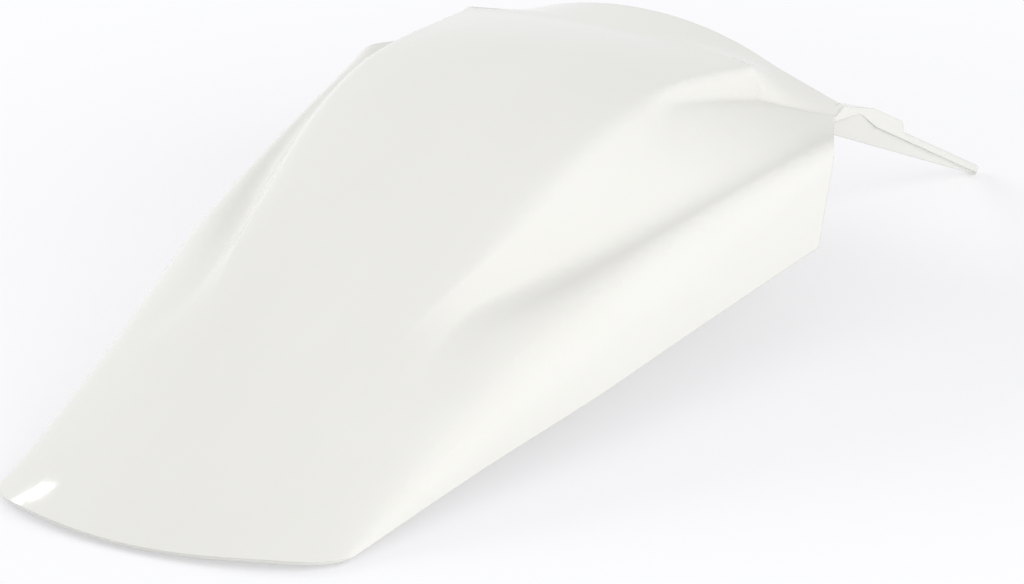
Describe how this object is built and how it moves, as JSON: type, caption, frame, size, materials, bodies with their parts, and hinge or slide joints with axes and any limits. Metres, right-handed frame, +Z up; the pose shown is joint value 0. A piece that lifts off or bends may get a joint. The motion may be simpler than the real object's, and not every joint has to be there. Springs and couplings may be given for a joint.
{
  "type": "motorcycle rear fender",
  "caption": "Rear fender for an off-road motorcycle: arched white tail with raised side facets, seat pockets and front bolt arms, moulded in one piece.",
  "frame": {"origin": "centre of the bounding box in plan, on the floor the fender rests on", "axes": "+X forward, from the tail towards the seat and arms; +Y to the rider's left; +Z up"},
  "size_m": [0.637, 0.2652, 0.1342],
  "materials": {
    "white_plastic": "glossy"
  },
  "bodies": {
    "root": {"rear_fender": "white_plastic"}
  },
  "joints": []
}
